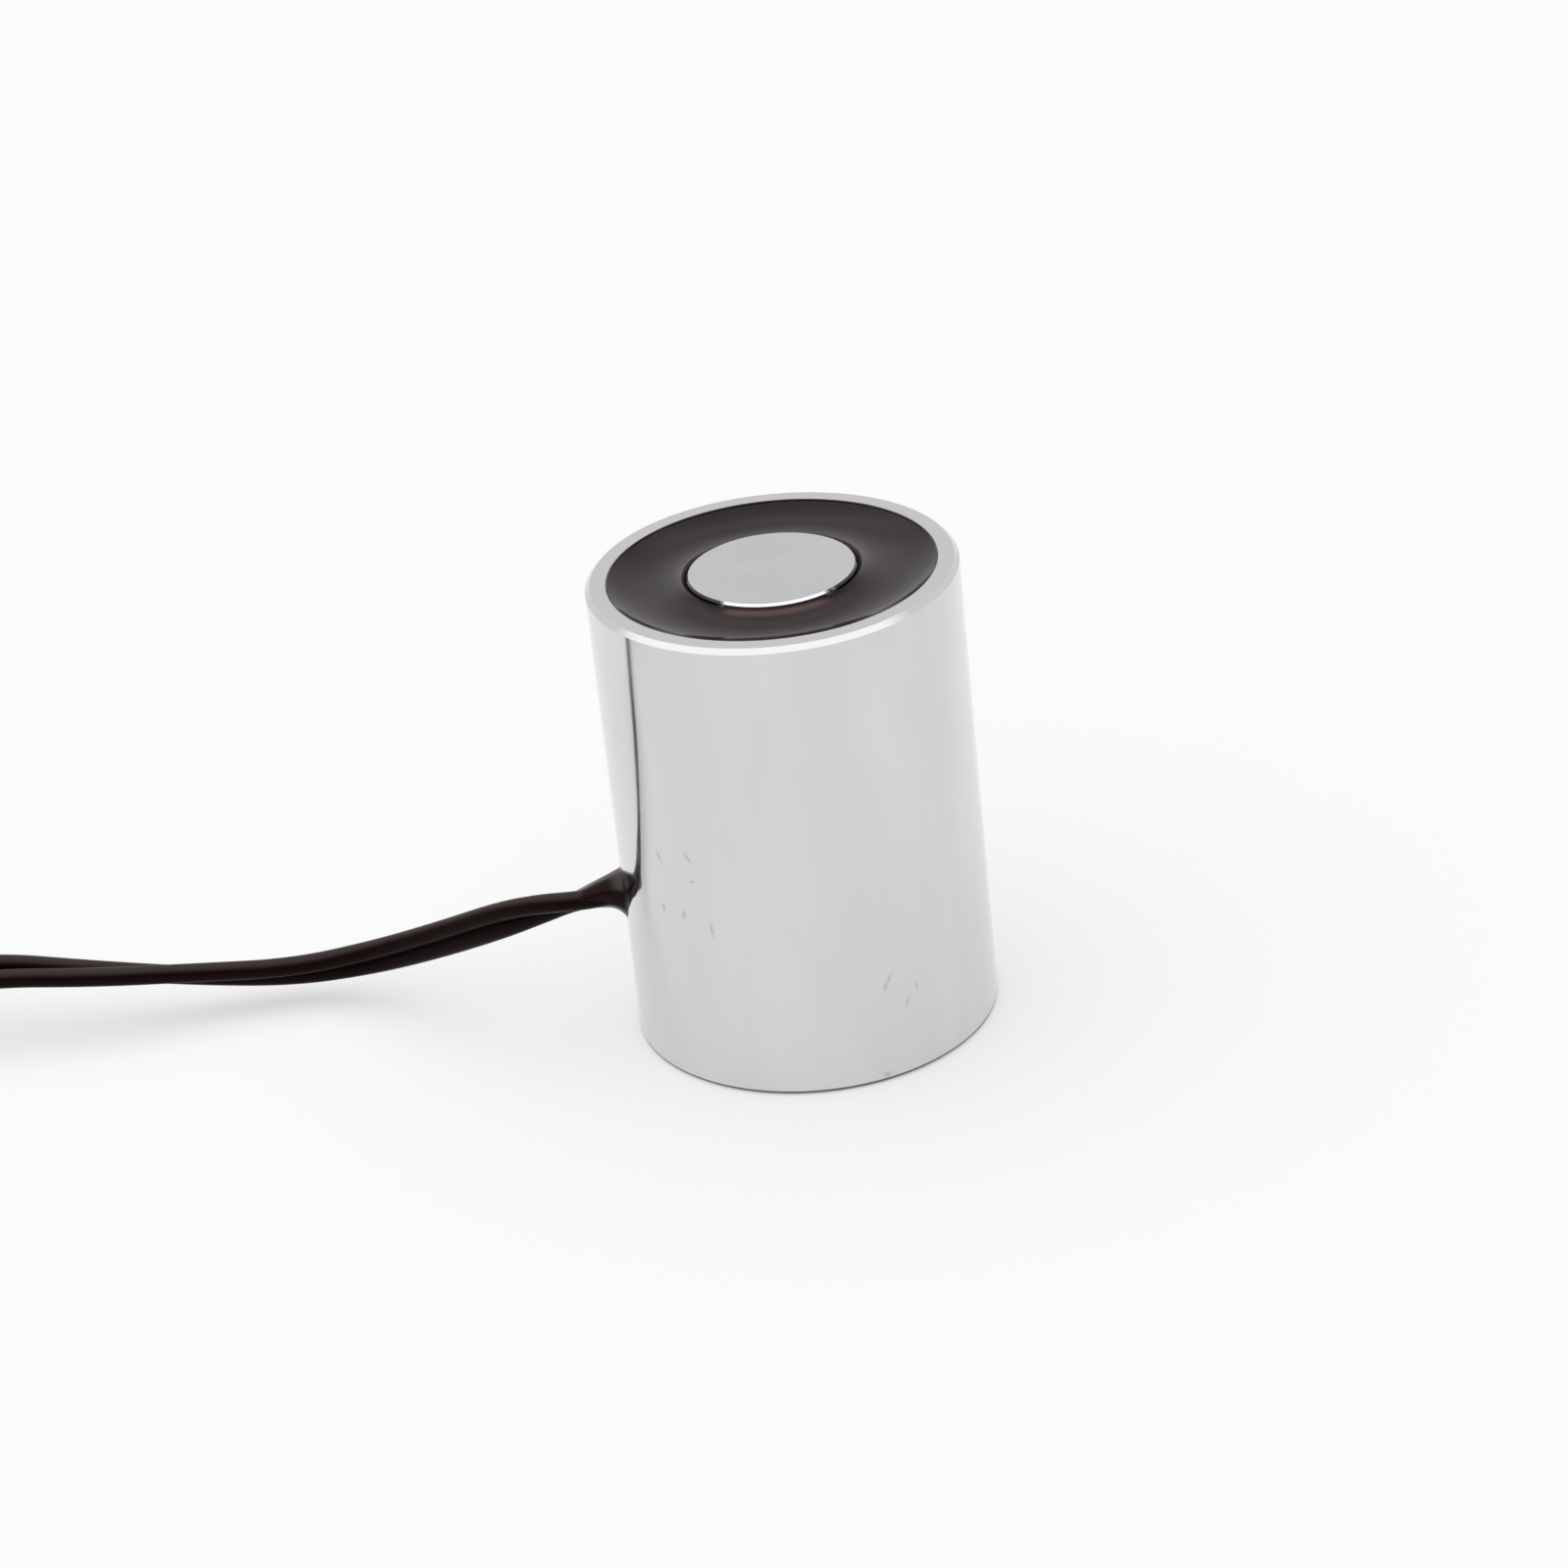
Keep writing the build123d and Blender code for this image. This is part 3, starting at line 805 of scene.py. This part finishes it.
def makeCore():
    count, top, spigot = core["segments"], housing["height"], core["spigotRadius"]
    outline = [
        (poleRadius - core["edgeAcross"], top),
        (poleRadius, top - core["edgeDown"]),
        (poleRadius, core["shoulder"]),
        (spigot, core["shoulder"]),
        (spigot, 0.0),
    ]
    rings = [[corner] * count for corner in outline]
    rows = round(core["boreDepth"] / core["pitch"] * core["rowsPerPitch"])
    for row in range(rows + 1):
        height = core["boreDepth"] * row / rows
        rings.append([(boreRadius(i / count, height), height) for i in range(count)])
    build = bmesh.new()
    loops = []
    for ring in rings:
        loops.append([build.verts.new((r * math.cos(2 * math.pi * i / count) * mm,
                                       r * math.sin(2 * math.pi * i / count) * mm, z * mm))
                      for i, (r, z) in enumerate(ring)])
    for upper, lower in zip(loops, loops[1:]):
        for i in range(count):
            j = (i + 1) % count
            build.faces.new((upper[i], upper[j], lower[j], lower[i]))
    build.faces.new(loops[0])
    tip = build.verts.new((0, 0, core["drillTip"] * mm))
    for i in range(count):
        build.faces.new((loops[-1][i], loops[-1][(i + 1) % count], tip))
    bmesh.ops.recalc_face_normals(build, faces=build.faces)
    mesh = bpy.data.meshes.new("corePole")
    build.to_mesh(mesh)
    build.free()
    mesh.shade_smooth()
    mesh.set_sharp_from_angle(angle=math.radians(core["sharpAngle"]))
    mesh.materials.append(steel)
    piece = bpy.data.objects.new("corePole", mesh)
    scene.collection.objects.link(piece)
    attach(piece, "root")
    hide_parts("core")


makeCore()
print("core turned and tapped")
dress("housing", nickel)
dress("potting", resin)
dress("bobbin", nylon)
dress("winding_tape", tape)
dress("coil_tie", tieNylon)
for name in ("winding", "start_wire", "finish_wire"):
    dress(name, copper)
for name in ("solder_joint_a", "solder_joint_b", "lead_a_inner_end", "lead_b_inner_end"):
    dress(name, tin)
for name in ("joint_sleeve_a", "joint_sleeve_b"):
    dress(name, sleeving)
print("materials assigned")

# studio: white paper and white surroundings, brighter overhead, as under a large diffuser
studio = {
    "floorSize": 4.0,                # m
    "floorColour": "#bebebe",
    "floorGlow": 0.44,               # added for what the camera and the mirror see
    "behindCamera": 0.965,           # strength of the surroundings as a background
    "inMirrors": 0.90,
    "fromBelow": 0.36,               # strength as a light, low down
    "darkSide": 0.25,                # the part of both that is left at the front
    "front": (0, -1, 0),
    "darkFrom": (0.15, 0.55),        # cosines to the front between which that side begins
    "overhead": 1.42,
    "diffuser": (-0.14, -0.10, 1.0),    # direction of its middle
    "edge": (0.48, 0.68),            # cosines between which it fades
    "tint": "#ffffff",
}


# 1 on a ray from the camera, a mirror or glass, else 0
def seenDirectly(tree):
    path = addNode(tree, "LightPath")
    direct = addNode(tree, "Math", {"operation": "MAXIMUM"},
                     {0: path.outputs["Is Camera Ray"], 1: path.outputs["Is Glossy Ray"]})
    return addNode(tree, "Math", {"operation": "MAXIMUM"},
                   {0: direct.outputs[0], 1: path.outputs["Is Transmission Ray"]}).outputs[0]


def makeFloor():
    half = studio["floorSize"] / 2
    mesh = bpy.data.meshes.new("floor")
    corners = [(-half, -half, 0), (half, -half, 0), (half, half, 0), (-half, half, 0)]
    mesh.from_pydata(corners, [], [(0, 1, 2, 3)])
    floor = bpy.data.objects.new("floor", mesh)
    scene.collection.objects.link(floor)
    material = bpy.data.materials.new("studioPaper")
    material.use_nodes = True
    tree = material.node_tree
    tree.nodes.remove(tree.nodes["Principled BSDF"])
    paper = addNode(tree, "BsdfDiffuse", {"Color": toLinear(studio["floorColour"])})
    strength = addNode(tree, "Math", {"operation": "MULTIPLY", 1: studio["floorGlow"]},
                       {0: seenDirectly(tree)})
    glow = addNode(tree, "Emission", links={"Strength": strength.outputs[0]})
    both = addNode(tree, "AddShader", links={0: paper.outputs[0], 1: glow.outputs[0]})
    tree.links.new(both.outputs[0], tree.nodes["Material Output"].inputs["Surface"])
    mesh.materials.append(material)


def makeSurroundings():
    world = bpy.data.worlds.new("studio")
    scene.world = world
    world.use_nodes = True
    tree = world.node_tree
    direction = addNode(tree, "TexCoord").outputs["Generated"]
    middle = Vector(studio["diffuser"]).normalized()
    toMiddle, toFront = [
        addNode(tree, "VectorMath", {"operation": "DOT_PRODUCT", 1: aim}, {0: direction}).outputs["Value"]
        for aim in (middle, studio["front"])]
    above = addNode(tree, "MapRange", rising(*studio["edge"]), {"Value": toMiddle}).outputs[0]
    atFront = addNode(tree, "MapRange", rising(*studio["darkFrom"]), {"Value": toFront}).outputs[0]
    low = layOver(tree, studio["fromBelow"], (studio["inMirrors"], seenDirectly(tree)))
    dimmed = addNode(tree, "Math", {"operation": "MULTIPLY"},
                     {0: low, 1: layOver(tree, 1.0, (studio["darkSide"], atFront))}).outputs[0]
    path = addNode(tree, "LightPath")
    strength = layOver(tree, dimmed, (studio["behindCamera"], path.outputs["Is Camera Ray"]),
                       (studio["overhead"], above))
    background = tree.nodes["Background"]
    tree.links.new(strength, background.inputs["Strength"])
    background.inputs["Color"].default_value = toLinear(studio["tint"])


makeFloor()
makeSurroundings()
print("studio lit")
